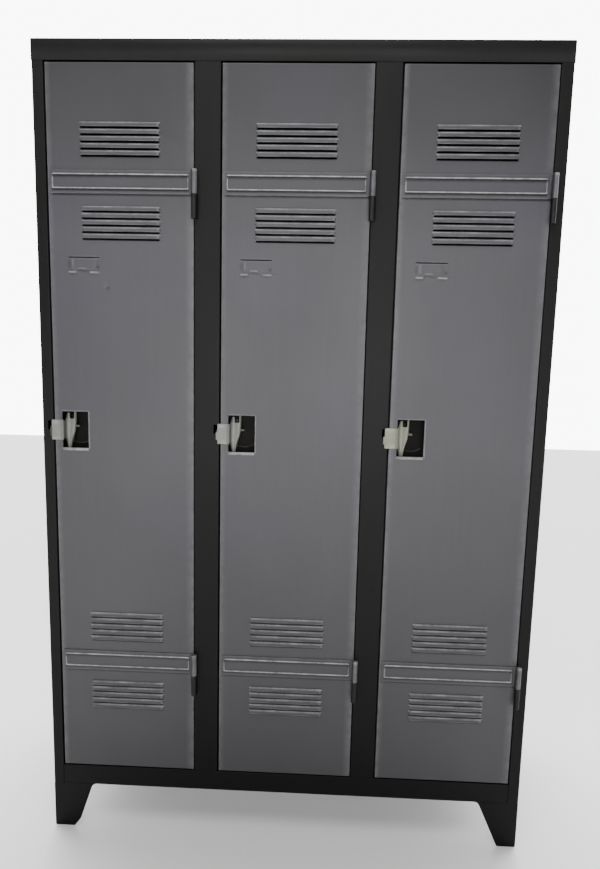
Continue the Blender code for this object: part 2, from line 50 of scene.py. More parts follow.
DOOR_SHEET = 0.001
DOOR_DEPTH = 0.018
BEND = 0.0015               # radius of a door's folded edges
TINY = 1e-6

LOUVRE_TOPS = (1.637, 1.4665, 0.5544, 0.3843)   # top of each group's first louvre
LOUVRE_COUNT = 5
LOUVRE_PITCH = 0.0143
LOUVRE_H = 0.0106
LOUVRE_RISE = 0.0044
LOUVRE_W = 0.171
LOUVRE_END = 0.0085         # length of each rounded end
LOUVRE_GAP = 0.0024         # slot below each louvre's lip
SLOT_END = 0.0018           # the slot stops this far inside the louvre's ends
LOUVRE_PARTS = (-0.06, 0, 0.03, 0.08, 0.15, 0.25, 0.42, 0.62, 0.84, 0.92, 1)    # rows down a louvre

# Across a door, places are from its left edge. Heights are from the floor.
WINDOW_X = (0.017, 0.076)
WINDOW_Z = (0.941, 1.023)
LEDGE_DEPTH = 0.0045
RIM_REACH = 0.001           # the window's rim begins this close to its opening
SILL_HALF, SILL_RISE = 0.0038, 0.0024
RIM_RISE, HEAD_RISE = 0.0010, 0.0006

CARD_X = (0.039, 0.109)
CARD_Z = (1.325, 1.360)
CARD_SLOT = 0.0019          # height of the slot the card drops in through
CARD_FACE_RISE = 0.0008
BOW_X, BOW_Z = 0.0700, 1.3345
BOW_HALF, BOW_RISE = 0.0115, 0.0016
TABS = ((0.0398, 0.0600, 0.0), (0.0860, 0.1105, 0.0002))   # left end, right end, sag to the right
TAB_RISE = 0.0030

SCUFF = (0.1245, 1.2955)    # a small knock in the left door
CREASE = (0.262, 1.600)     # and a longer one

STRAP_H = 0.048
STRAP_T = 0.002
STRAP_BEND = 0.0007
BEAD_X = (0.0096, 0.3040)   # outside of a strap's raised bead
BEAD_Z = (0.0085, 0.0415)   # the same, from the strap's lower edge
BEAD_W = 0.0042
BEAD_RISE = 0.0021
BEAD_CORNER = 0.0025
KNUCKLE_R = 0.00625
KNUCKLE_CHAMFER = 0.0007
GAP = 0.0003                # between a door's sheet and what lies on it

BLADE_BACK = 0.009          # latch blade's front, behind the door's sheet
PLATE_T = 0.0007
BLADE_T = 0.0014
JOG_T = 0.0011
PLATE_Z = (0.9585, 1.0040)

CAP_SHEET = 0.0008
FOOT_T = 0.002
TOE_W = 0.044

FACE_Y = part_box("mullion_left")[0].y       # plane of the doors, stiles and mullions


# --- meshes ---------------------------------------------------------------------------------------
def finish_mesh(name, bm, material, body, replaced=(), smooth_angle=35):
    """Turns a bmesh into a piece that rides on a CAD body."""
    mesh = bpy.data.meshes.new(name)
    bm.to_mesh(mesh)
    bm.free()
    mesh.materials.append(material)
    mesh.shade_smooth()
    mesh.set_sharp_from_angle(angle=math.radians(smooth_angle))
    obj = bpy.data.objects.new(name, mesh)
    bpy.context.collection.objects.link(obj)
    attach(obj, body)
    if replaced:
        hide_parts(*replaced)
    return obj


def thickened(obj, thickness):
    """Gives a sheet its thickness, behind its face."""
    modifier = obj.modifiers.new("sheet", "SOLIDIFY")
    modifier.thickness = thickness
    modifier.offset = -1
    return obj


def spread(marks, step):
    """All the marks in order, with more places between them wherever a gap is over step."""
    marks = sorted(set(round(mark, 6) for mark in marks))
    places = [marks[0]]
    for low, high in zip(marks, marks[1:]):
        count = max(1, math.ceil((high - low) / step - TINY))
        places += [low + (high - low) * i / count for i in range(1, count + 1)]
    return places


def folded_run(length, marks, step, depth, radius, start=0.0, arc_steps=3):
    """Places across a sheet whose two edges fold back: a list of (place, depth behind the face)."""
    edge = [(0.0, depth), (0.0, (depth + radius) / 2)] if depth > 2 * radius else [(0.0, depth)]
    for i in range(arc_steps + 1):
        angle = math.pi / 2 * i / arc_steps
        edge.append((radius * (1 - math.cos(angle)), radius * (1 - math.sin(angle))))
    inside = [mark for mark in marks if radius < mark < length - radius]
    flat = spread([radius, *inside, length - radius], step)[1:-1]
    run = edge + [(place, 0.0) for place in flat]
    run += [(length - place, back) for place, back in reversed(edge)]
    return [(start + place, back) for place, back in run]


def pressed_sheet(columns, rows, face_y, press, is_open, wear_and_highlight, grime_and_shade):
    """A sheet in the XZ plane with folded edges, pressed outwards by press and cut by is_open.

    The first mask gives wear and painted highlight, the second dirt and painted shade, 0 to 1 at a
    place.
    """
    bm = bmesh.new()
    worn_and_lit = bm.verts.layers.float.new("wear_and_highlight")
    dirty_and_shaded = bm.verts.layers.float.new("grime_and_shade")
    grid = []
    for z, row_back in rows:
        line = []
        for x, column_back in columns:
            vert = bm.verts.new((x, face_y + max(column_back, row_back) - press(x, z), z))
            vert[worn_and_lit] = wear_and_highlight(x, z)
            vert[dirty_and_shaded] = grime_and_shade(x, z)
            line.append(vert)
        grid.append(line)
    for j in range(len(rows) - 1):
        for i in range(len(columns) - 1):
            folded_across = min(columns[i][1], columns[i + 1][1]) >= BEND
            folded_up = min(rows[j][1], rows[j + 1][1]) >= BEND
            middle_x = (columns[i][0] + columns[i + 1][0]) / 2
            middle_z = (rows[j][0] + rows[j + 1][0]) / 2
            if (folded_across and folded_up) or is_open(middle_x, middle_z):
                continue
            bm.faces.new((grid[j][i], grid[j][i + 1], grid[j + 1][i + 1], grid[j + 1][i]))
    loose = [vert for vert in bm.verts if not vert.link_faces]
    bmesh.ops.delete(bm, geom=loose, context="VERTS")
    return bm


def add_prism(bm, outline, axis, *levels):
    """Extrudes a flat outline along X, Y or Z through levels, and returns the new points.

    The outline's numbers are the other two axes in order.
    """
    def corner(point, level):
        numbers = list(point)
        numbers.insert("XYZ".index(axis), level)
        return bm.verts.new(numbers)

    rings = [[corner(point, level) for point in outline] for level in levels]
    faces = [bm.faces.new(rings[0]), bm.faces.new(rings[-1][::-1])]
    for lower, upper in zip(rings, rings[1:]):
        for i in range(len(outline)):
            j = (i + 1) % len(outline)
            faces.append(bm.faces.new((lower[i], lower[j], upper[j], upper[i])))
    bmesh.ops.recalc_face_normals(bm, faces=faces)
    return [vert for ring in rings for vert in ring]


def add_turned(bm, profile, centre, segments=32):
    """Turns a closed profile of (radius, height) points about a vertical axis through centre."""
    rings = []
    for radius, height in profile:
        ring = []
        for i in range(segments):
            angle = 2 * math.pi * i / segments
            x = centre[0] + radius * math.cos(angle)
            y = centre[1] + radius * math.sin(angle)
            ring.append(bm.verts.new((x, y, height)))
        rings.append(ring)
    faces = []
    for j in range(len(rings)):
        ring, following = rings[j], rings[(j + 1) % len(rings)]
        for i in range(segments):
            k = (i + 1) % segments
            faces.append(bm.faces.new((ring[i], ring[k], following[k], following[i])))
    bmesh.ops.recalc_face_normals(bm, faces=faces)


def grid_rim(grid):
    """The points round the edge of a grid, in order."""
    up = [row[0] for row in grid]
    down = [row[-1] for row in grid[-2::-1]]
    return up + grid[-1][1:] + down + grid[0][-2:0:-1]


def add_loft(bm, sections, thickness):
    """A folded strip that runs up through sections of (height, points across), thickened backwards.

    Returns its front and its back, each as rows of points.
    """
    grids = []
    for back in (0, thickness):
        grids.append([
            [bm.verts.new((x, y + back, z)) for x, y in points]
            for z, points in sections
        ])
    faces = []
    for grid in grids:
        for lower, upper in zip(grid, grid[1:]):
            for i in range(len(lower) - 1):
                faces.append(bm.faces.new((lower[i], lower[i + 1], upper[i + 1], upper[i])))
    border, border_back = (grid_rim(grid) for grid in grids)
    for i in range(len(border)):
        j = (i + 1) % len(border)
        faces.append(bm.faces.new((border[i], border[j], border_back[j], border_back[i])))
    bmesh.ops.recalc_face_normals(bm, faces=faces)
    return grids


def add_tube(bm, path, radius, segments=8):
    """A round bar through path, closed at both ends."""
    rings = []
    for i, point in enumerate(path):
        along = (path[min(i + 1, len(path) - 1)] - path[max(i - 1, 0)]).normalized()
        side = along.cross(Vector((0, 1, 0))).normalized()
        up = side.cross(along)
        ring = []
        for k in range(segments):
            angle = 2 * math.pi * k / segments
            outwards = side * math.cos(angle) + up * math.sin(angle)
            ring.append(bm.verts.new(point + outwards * radius))
        rings.append(ring)
    faces = [bm.faces.new(rings[0]), bm.faces.new(rings[-1][::-1])]
    for lower, upper in zip(rings, rings[1:]):
        for k in range(segments):
            m = (k + 1) % segments
            faces.append(bm.faces.new((lower[k], lower[m], upper[m], upper[k])))
    bmesh.ops.recalc_face_normals(bm, faces=faces)


def stroke(path, thickness):
    """Outline of a strip of sheet that follows path, half of its thickness on each side."""
    sides = ([], [])
    for i, point in enumerate(path):
        before, after = path[max(i - 1, 0)], path[min(i + 1, len(path) - 1)]
        along = (after - before).normalized()
        across = Vector((-along.y, along.x)) * (thickness / 2)
        sides[0].append(point + across)
        sides[1].append(point - across)
    return sides[0] + sides[1][::-1]


def rounded(outline, radii, steps=4):
    """Replaces each corner of a closed outline with an arc of its own radius, or keeps it for 0."""
    smooth = []
    count = len(outline)
    for i in range(count):
        corner = Vector(outline[i])
        to_before = (Vector(outline[i - 1]) - corner).normalized()
        to_after = (Vector(outline[(i + 1) % count]) - corner).normalized()
        half = to_before.angle(to_after) / 2
        if radii[i] == 0:
            smooth.append(corner)
            continue
        centre = corner + (to_before + to_after).normalized() * (radii[i] / math.sin(half))
        first = (corner + to_before * (radii[i] / math.tan(half)) - centre).normalized()
        last = (corner + to_after * (radii[i] / math.tan(half)) - centre).normalized()
        smooth += [centre + first.slerp(last, step / steps) * radii[i] for step in range(steps + 1)]
    return smooth


def ease(value):
    """Smooth step from 0 to 1."""
    value = min(max(value, 0.0), 1.0)
    return value * value * (3 - 2 * value)


def dome(value):
    """Quarter-round: 0 at 0, level at 1."""
    value = min(max(value, 0.0), 1.0)
    return math.sqrt(1 - (1 - value) ** 2)


# --- materials ------------------------------------------------------------------------------------
def add_node(tree, kind, inputs=(), **settings):
    node = tree.nodes.new(kind)
    for key, value in settings.items():
        setattr(node, key, value)
    for key, value in dict(inputs).items():
        if isinstance(value, bpy.types.NodeSocket):
            tree.links.new(value, node.inputs[key])
        else:
            node.inputs[key].default_value = value
    return node


def noise(tree, scale, detail=3.0, stretch=(1, 1, 1), roughness=0.5, offset=(0, 0, 0)):
    place = add_node(tree, "ShaderNodeTexCoord").outputs["Object"]
    mapping = add_node(tree, "ShaderNodeMapping", {
        "Vector": place, "Scale": stretch, "Location": offset})
    return add_node(tree, "ShaderNodeTexNoise", {
        "Vector": mapping.outputs["Vector"], "Scale": scale, "Detail": detail,
        "Roughness": roughness}).outputs["Fac"]


def between(tree, value, low, high, to_low=0.0, to_high=1.0):
    return add_node(tree, "ShaderNodeMapRange", {
        "Value": value, "From Min": low, "From Max": high, "To Min": to_low, "To Max": to_high,
    }, clamp=True).outputs["Result"]


def maths(tree, operation, first, second):
    return add_node(tree, "ShaderNodeMath", {0: first, 1: second}, operation=operation).outputs[0]


def mixed(tree, factor, first, second):
    first, second = [(*c, 1) if isinstance(c, tuple) else c for c in (first, second)]
    inputs = {0: factor, 6: first, 7: second}
    return add_node(tree, "ShaderNodeMix", inputs, data_type="RGBA").outputs[2]


def bump(tree, height, distance, strength=1.0, under=None):
    inputs = {"Height": height, "Distance": distance, "Strength": strength}
    if under is not None:
        inputs["Normal"] = under
    return add_node(tree, "ShaderNodeBump", inputs).outputs["Normal"]


def new_material(name, metallic=0.0, specular=0.5):
    material = bpy.data.materials.new(name)
    material.use_nodes = True
    tree = material.node_tree
    shader = tree.nodes["Principled BSDF"]
    shader.inputs["Metallic"].default_value = metallic
    shader.inputs["Specular IOR Level"].default_value = specular
    return material, tree, shader


def shaded(colour, factor):
    return tuple(channel * factor for channel in colour)


BLACK = (0.0, 0.0, 0.0)
# Near-black for dirt and for painted shade.
SHADE_AND_DIRT = (0.003, 0.003, 0.0035)
SHADE_LOW_SPAN = (0.15, 0.95)     # heights over which the painted shade near the floor gives way to the paint's own tone
SHADE_TOP_SPAN = (1.40, 1.78)     # and over which its own tone gives way to painted shade near the top


def painted(
        name, colour, tint, worn_and_lit, roughness, wear_and_highlight_amount, streaks, shades=(1.0, 1.0), specular=0.5):
    """Sprayed paint on sheet steel: uneven tone, wiping streaks, orange peel, wear, dirt, painted
    light and shade.

    shades are how light its painted shade leaves it near the floor and near the top, against 1
    between them.
    """
    material, tree, shader = new_material(name, specular=specular)
    cloudy = between(tree, noise(tree, 2.2, 4), 0.35, 0.65)
    tone = mixed(tree, cloudy, shaded(colour, 0.93), shaded(colour, 1.07))
    tinted = between(tree, noise(tree, 4.5, 3, offset=(3.1, 0.4, 1.7)), 0.52, 0.72, 0.0, 0.55)
    tone = mixed(tree, tinted, tone, tint)
    streaky = between(tree, noise(tree, 1.0, 5, (95, 95, 5), 0.6), 0.42, 0.68, 0.0, streaks)
    tone = mixed(tree, streaky, tone, shaded(colour, 1.35))
    specks = between(tree, noise(tree, 260, 2), 0.70, 0.76, 0.0, 0.35)
    tone = mixed(tree, specks, tone, shaded(colour, 1.8))
    place = add_node(tree, "ShaderNodeTexCoord").outputs["Object"]
    height = add_node(tree, "ShaderNodeSeparateXYZ", {0: place}).outputs["Z"]
    # Painted shade: darker towards the floor and the top, in place of light falling off there.
    tone = mixed(tree, between(tree, height, *SHADE_LOW_SPAN, 1.0 - shades[0], 0.0), tone, BLACK)
    tone = mixed(tree, between(tree, height, *SHADE_TOP_SPAN, 0.0, 1.0 - shades[1]), tone, BLACK)
    # The wear mask lightens worn paint and also paints highlights on lit ridges, shoulders and
    # edges.
    wear_and_highlight = add_node(tree, "ShaderNodeAttribute", attribute_name="wear_and_highlight").outputs["Fac"]
    patchy = between(tree, noise(tree, 55, 4, roughness=0.65), 0.30, 0.62, 0.25, 1.0)
    worn_and_lit_mix = maths(tree, "MULTIPLY", maths(tree, "MULTIPLY", wear_and_highlight, patchy), wear_and_highlight_amount)
    tone = mixed(tree, worn_and_lit_mix, tone, worn_and_lit)
    # The grime mask darkens dirt and also paints shade in creases, under lips and on shaded sides.
    dirt_and_shade = add_node(tree, "ShaderNodeAttribute", attribute_name="grime_and_shade").outputs["Fac"]
    dirt_and_shade = maths(tree, "MULTIPLY", dirt_and_shade, between(tree, noise(tree, 90, 3), 0.25, 0.55, 0.7, 1.0))
    tone = mixed(tree, dirt_and_shade, tone, SHADE_AND_DIRT)
    tree.links.new(tone, shader.inputs["Base Color"])

    gloss = noise(tree, 7, 4, (1, 1, 0.4), offset=(5.0, 1.0, 2.0))
    gloss = between(tree, gloss, 0.3, 0.7, -0.07, 0.07)
    gloss = maths(tree, "ADD", gloss, roughness)
    gloss = maths(tree, "ADD", gloss, maths(tree, "MULTIPLY", worn_and_lit_mix, 0.12))
    tree.links.new(gloss, shader.inputs["Roughness"])

    waves = bump(tree, noise(tree, 5.5, 2, offset=(1.3, 2.2, 0.6)), 0.004, 0.35)
    peel = bump(tree, noise(tree, 520, 2), 0.00025, 0.35, waves)
    chips = bump(tree, worn_and_lit_mix, 0.0002, 0.5, peel)
    tree.links.new(chips, shader.inputs["Normal"])
    return material


def zinc(name, dull, bright):
    """Zinc plate gone dull in blotches, with rust coming through and fine drawing marks."""
    material, tree, shader = new_material(name, metallic=1.0)
    blotches = between(tree, noise(tree, 60, 4), 0.35, 0.65)
    tone = mixed(tree, blotches, dull, bright)
    spots = between(tree, noise(tree, 35, 5, offset=(2, 5, 1)), 0.60, 0.70, 0.0, 0.7)
    tone = mixed(tree, spots, tone, shaded((1.0, 0.55, 0.3), dull[0] / 3))
    tree.links.new(tone, shader.inputs["Base Color"])
    drawn = noise(tree, 1.0, 3, (30, 1200, 1200))
    tree.links.new(between(tree, drawn, 0.3, 0.7, 0.28, 0.5), shader.inputs["Roughness"])
    tree.links.new(bump(tree, drawn, 0.0001, 0.4), shader.inputs["Normal"])
    return material


def floor_paint():
    material, tree, shader = new_material("studio_floor")
    tone = mixed(tree, noise(tree, 1.5, 3), (0.82, 0.82, 0.82), (0.85, 0.85, 0.85))
    tree.links.new(tone, shader.inputs["Base Color"])
    shader.inputs["Roughness"].default_value = 0.7
    return material


# The door paint is given painted shade near the floor and near the top.
SLATE = painted(
    "slate_paint", (0.063, 0.062, 0.069), (0.068, 0.060, 0.079), (0.34, 0.34, 0.35),
    roughness=0.46, wear_and_highlight_amount=0.9, streaks=0.12, shades=(0.40, 0.36))
# The frame paint is given deep painted shade near the floor.
CHARCOAL = painted(
    "charcoal_paint", (0.0108, 0.0111, 0.0108), (0.0101, 0.0106, 0.0092), (0.05, 0.05, 0.05),
    roughness=0.42, wear_and_highlight_amount=0.5, streaks=0.25, shades=(0.05, 1.0), specular=0.14)
CREAM = painted(
    "cream_paint", (0.168, 0.170, 0.149), (0.152, 0.152, 0.148), (0.34, 0.34, 0.32),
    roughness=0.5, wear_and_highlight_amount=0.8, streaks=0.4)
YELLOWED = painted(
    "yellowed_cream_paint", (0.190, 0.199, 0.141), (0.180, 0.184, 0.150), (0.38, 0.38, 0.33),
    roughness=0.5, wear_and_highlight_amount=0.8, streaks=0.4)
# Near-black paint as painted shade inside the latch pockets; its worn colour is the pocket bead's
# painted highlight.
POCKET_SHADE = painted(
    "pocket_shade_paint", (0.0055, 0.005, 0.0042), (0.0070, 0.0055, 0.0080), (0.060, 0.055, 0.050),
    roughness=0.5, wear_and_highlight_amount=0.9, streaks=0.12, specular=0.12)
ZINC = zinc("dull_zinc", (0.30, 0.30, 0.29), (0.52, 0.52, 0.51))
# Near-black zinc as painted shade on the latch guides, coat rails and hooks.
SHADE_DARKENED_ZINC = zinc("shade_darkened_zinc", (0.030, 0.028, 0.026), (0.055, 0.052, 0.048))


# --- doors ----------------------------------------------------------------------------------------
def louvre_slats():
    """(top, lip) heights of every louvre on a door."""
    for top in LOUVRE_TOPS:
        for i in range(LOUVRE_COUNT):
            slat = top - i * LOUVRE_PITCH
            yield slat, slat - LOUVRE_H


SLATS = list(louvre_slats())


def louvre_press(x, z, middle):
    """How far the sheet stands out at a louvre: quick rise, near level, then a flared lip."""
    reach = LOUVRE_W / 2 - abs(x - middle)
    if reach <= 0:
        return 0.0
    for top, lip in SLATS:
        if lip - TINY <= z <= top:
            down = (top - z) / LOUVRE_H
            shape = 0.80 * dome(down / 0.42) + 0.12 * ease((down - 0.3) / 0.6)
            flare = 0.08 * ease((down - 0.84) / 0.16)
            return LOUVRE_RISE * dome(reach / LOUVRE_END) * (shape + flare)
    return 0.0


def louvre_wear_and_highlight(x, z, middle):
    """Worn paint and painted highlight along each louvre's lit shoulder, at its ends and in places
    along its lip.
    """
    reach = LOUVRE_W / 2 - abs(x - middle)
    if reach <= 0:
        return 0.0
    for top, lip in SLATS:
        if lip - TINY <= z <= top:
            down = (top - z) / LOUVRE_H
            rubbed_and_lit = 0.5 + 0.5 * math.sin(61 * x + 210 * top)
            shoulder = (0.38 + 0.30 * rubbed_and_lit) * ease(down / 0.10) * ease((0.46 - down) / 0.20)
            edge = 0.45 * (1 - rubbed_and_lit) * ease((down - 0.84) / 0.1)
            # Painted highlight on the ends, brighter at the right end.
            end = 0.28 if x > middle else 0.10
            end *= ease((0.009 - reach) / 0.006) * ease((reach - 0.0010) / 0.003) * ease(down / 0.2)
            return max(shoulder, edge, end)
    return 0.0


def louvre_painted_shade(x, z, middle):
    """Painted shade in the step below each lip, fading out below the last one of a group."""
    reach = LOUVRE_W / 2 - abs(x - middle)
    if reach <= 0.0004:
        return 0.0
    ends = ease((reach - 0.0004) / 0.0022)
    for top, lip in SLATS:
        if lip - LOUVRE_PITCH + LOUVRE_H - TINY <= z < lip:
            return 0.92 * ends * ease((z - lip + LOUVRE_PITCH - LOUVRE_H + 0.0008) / 0.0012)
    return 0.0


def ridge(distance, half_width, rise):
    """Half-round ridge: its height at a distance from its middle line."""
    if abs(distance) >= half_width:
        return 0.0
    return rise * math.sqrt(1 - (distance / half_width) ** 2)


def window_rim(x, z):
    """A rolled edge round the latch window, heavy along the bottom."""
    outside_x = max(WINDOW_X[0] - x, x - WINDOW_X[1])
    outside_z = max(WINDOW_Z[0] - z, z - WINDOW_Z[1])
    if z < WINDOW_Z[0] and outside_x < RIM_REACH:
        taper = ease((RIM_REACH - outside_x) / 0.004)
        return taper * ridge(WINDOW_Z[0] - z - 0.0024, SILL_HALF, SILL_RISE)
    if outside_z < RIM_REACH and x > WINDOW_X[1]:
        return ridge(outside_x - 0.0012, 0.0024, RIM_RISE)
    if outside_x < RIM_REACH and z > WINDOW_Z[1]:
        return ridge(outside_z - 0.0012, 0.0022, HEAD_RISE)
    return 0.0


def card_face(x, z):
    """1 on the card holder's raised face, 0 outside it."""
    across = ease((x - 0.0450) / 0.0030) * ease((0.1010 - x) / 0.0080)
    return across * ease((z - 1.3335) / 0.0040) * ease((1.3580 - z) / 0.0020)


def card_press(x, z):
    """Card holder pressed from the sheet: raised face, two bent tabs and a bowed lip between."""
    across = CARD_X[0] - 0.003 < x < CARD_X[1] + 0.003
    if not (across and CARD_Z[0] - 0.004 < z < CARD_Z[1] + 0.003):
        return 0.0
    off_middle = abs(x - BOW_X)
    bow = BOW_Z + BOW_RISE * math.cos(min(off_middle / BOW_HALF, 1.0) * math.pi / 2)
    lip = ridge(z - bow, 0.0020, BOW_RISE) * ease((BOW_HALF - off_middle) / 0.004)
    tab = 0.0
    for start, end, drop in TABS:
        level = z + drop * (x - start) / (end - start)
        along = ease((x - start) / 0.002) * ease((end - x) / 0.004)
        upward = ease((level - CARD_Z[0]) / 0.0022) * ease((CARD_Z[0] + 0.0055 - level) / 0.0014)
        tab = max(tab, TAB_RISE * along * upward)
    return max(CARD_FACE_RISE * card_face(x, z), lip, tab)


def card_wear_and_highlight(x, z):
    """Worn paint and painted highlight on the tabs and the bowed lip, down the left fold and along
    the slot.
    """
    worn_and_lit = ease(card_press(x, z) / 0.0012 - 0.72) if z < 1.3372 else 0.0
    fold = ridge(x - 0.0505, 0.0030, 0.30) if 1.337 < z < 1.3545 else 0.0
    brow = ridge(z - 1.3612, 0.0012, 0.2) + ridge(z - 1.3564, 0.0012, 0.2)
    brow *= ease((x - CARD_X[0]) / 0.003) * ease((CARD_X[1] - x) / 0.003)
    return 0.75 * max(worn_and_lit, fold, brow)


def card_painted_shade(x, z):
    """Painted shade beside the raised face, in its lower right corner, under the tabs and the bowed
    lip.
    """
    beside = ridge(x - 0.0420, 0.0030, 0.35)
    beside *= ease((z - 1.3355) / 0.003) * ease((1.3535 - z) / 0.004)
    corner = 0.7 * ease(1 - math.hypot((x - 0.1045) / 0.0065, (z - 1.3385) / 0.0055))
    bow = 1.3312 - 0.0016 * ease((x - 0.066) / 0.014)
    under = ridge(z - bow, 0.0022, 0.5) * ease((0.0130 - abs(x - 0.0710)) / 0.004)
    below = ridge(x - 0.0495, 0.010, 1.0) + ridge(x - 0.0945, 0.010, 0.8)
    below *= ridge(z - 1.3232, 0.0024, 0.3)
    return min(1.0, max(beside, corner, under, below))


def dents(x, z, door):
    """Knocks of real use, a millimetre or so deep."""
    if door != "left":
        return 0.0
    small = math.hypot(x - SCUFF[0], (z - SCUFF[1]) * 1.4)
    crease = (x - CREASE[0]) * 0.6 + (z - CREASE[1]) * 0.8
    along = abs((x - CREASE[0]) * 0.8 - (z - CREASE[1]) * 0.6)
    long_knock = 0.0012 * ease(1 - abs(crease) / 0.016) * ease(1 - along / 0.05)
    return -0.0016 * ease(1 - small / 0.010) - long_knock


def door_skin(door):
    """A door's sheet with louvres, latch window and card holder, on a grid that is fine at bends."""
    low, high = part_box("door_panel_" + door)
    left, width = low.x, high.x - low.x
    bottom, height = low.z, high.z - low.z
    middle = width / 2

    straps = []
    ends = (-0.0006, 0.0, 0.0008, 0.0018, 0.0033, 0.0055, LOUVRE_END)
    louvre_marks = [middle + side * (LOUVRE_W / 2 - end) for side in (-1, 1) for end in ends]
    rolled_edge = (0.0, 0.0012, 0.0024, 0.0036, 0.0042)
    window_marks = [WINDOW_X[0] - r for r in rolled_edge] + [WINDOW_X[1] + r for r in rolled_edge]
    card_marks = spread([CARD_X[0] - 0.002, CARD_X[0] + 0.012], 0.0011)
    card_marks += spread([0.051, 0.097], 0.0026)
    card_marks += spread([0.097, CARD_X[1] + 0.001], 0.0011)
    if door == "left":
        card_marks += spread([SCUFF[0] - 0.007, SCUFF[0] + 0.007], 0.0018)
    marks = louvre_marks + window_marks + card_marks
    columns = folded_run(width, marks, 0.018, DOOR_DEPTH, BEND, left)

    marks = []
    for top, lip in SLATS:
        marks += [top - LOUVRE_H * part for part in LOUVRE_PARTS]
        following = lip - LOUVRE_PITCH + LOUVRE_H
        marks += [lip - LOUVRE_GAP, following, following - 0.0006]
    marks += [WINDOW_Z[0] - 0.0009 * i for i in range(9)] + [WINDOW_Z[1] + r for r in rolled_edge]
    marks += spread([CARD_Z[0] - 0.0050, 1.3385], 0.0009)
    marks += [1.341, 1.345, 1.351, 1.3545, 1.3555, 1.3565]
    marks += [CARD_Z[1] + offset for offset in (-CARD_SLOT, 0, 0.0008, 0.0016, 0.0026)]
    under_strap = (-0.0060, -0.0048, -0.0038, -0.0026, -0.0012, 0.0002, 0.0012)
    for level in LEVELS:
        strap_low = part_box("hinge_strap_" + door + "_" + level)[0].z
        marks += [strap_low + offset for offset in under_strap]
        straps.append(strap_low)
    if door == "left":
        marks += spread([SCUFF[1] - 0.006, SCUFF[1] + 0.006], 0.0018)
    marks += [bottom + BEND + 0.0012, bottom + height - BEND - 0.0012]
    rows = folded_run(height, [mark - bottom for mark in marks], 0.020, DOOR_DEPTH, BEND, bottom)

    def press(x, z):
        x -= left
        return louvre_press(x, z, middle) + window_rim(x, z) + card_press(x, z) + dents(x, z, door)

    def is_open(x, z):
        x -= left
        if WINDOW_X[0] < x < WINDOW_X[1] and WINDOW_Z[0] < z < WINDOW_Z[1]:
            return True
        if CARD_X[0] + 0.001 < x < CARD_X[1] - 0.001 and CARD_Z[1] - CARD_SLOT < z < CARD_Z[1]:
            return True
        if LOUVRE_W / 2 - abs(x - middle) < SLOT_END:
            return False
        return any(lip - LOUVRE_GAP < z < lip for top, lip in SLATS)

    # Louvres, card holder and rolled sill get worn paint and painted highlight; the side edges are
    # lightened.
    def wear_and_highlight(x, z):
        x -= left
        rolled = 1.6 / SILL_RISE if z < WINDOW_Z[0] + 0.0005 else 0.5 / RIM_RISE
        rolled *= window_rim(x, z)
        edge = 0.35 * ease(1 - min(x, width - x) / 0.003)
        return min(1.0, max(louvre_wear_and_highlight(x, z, middle), card_wear_and_highlight(x, z), rolled, edge))

    # Painted shadow under each strap, painted shade at the louvres and card holder, a darkened patch
    # at the knock.
    def grime_and_shade(x, z):
        x -= left
        below_strap = max(ease(1.5 - abs(strap_low - 0.0014 - z) / 0.0028) for strap_low in straps)
        below_strap *= 0.85 * ease((x - 0.004) / 0.003)
        if door == "left":
            scuff = 0.55 * ease(1.3 - math.hypot((x - SCUFF[0]) / 0.0055, (z - SCUFF[1]) / 0.0034))
            below_strap = max(below_strap, scuff)
        return max(louvre_painted_shade(x, z, middle), card_painted_shade(x, z), below_strap)

    bm = pressed_sheet(columns, rows, FACE_Y, press, is_open, wear_and_highlight, grime_and_shade)
    sill_edges = [edge for edge in bm.edges if edge.is_boundary and on_sill(edge, left)]
    ledge = bmesh.ops.extrude_edge_only(bm, edges=sill_edges)
    for item in ledge["geom"]:
        if isinstance(item, bmesh.types.BMVert):
            item.co.y += LEDGE_DEPTH
    obj = finish_mesh(
        "door_skin_" + door, bm, SLATE, "door_" + door, ["door_panel_" + door])
    return thickened(obj, DOOR_SHEET)


def on_sill(edge, left):
    for vert in edge.verts:
        inside_x = WINDOW_X[0] - 1e-4 < vert.co.x - left < WINDOW_X[1] + 1e-4
        if not inside_x or abs(vert.co.z - WINDOW_Z[0]) > 1e-4:
            return False
    return True


# --- hinges ---------------------------------------------------------------------------------------
def bead_distance(x, z, low, high):
    """Distance from the middle line of a rounded rectangular bead, less than 0 inside it."""
    inset = BEAD_W / 2 + BEAD_CORNER
    out_x = abs(x - (low[0] + high[0]) / 2) - (high[0] - low[0]) / 2 + inset
    out_z = abs(z - (low[1] + high[1]) / 2) - (high[1] - low[1]) / 2 + inset
    return math.hypot(max(out_x, 0), max(out_z, 0)) + min(max(out_x, out_z), 0) - BEAD_CORNER


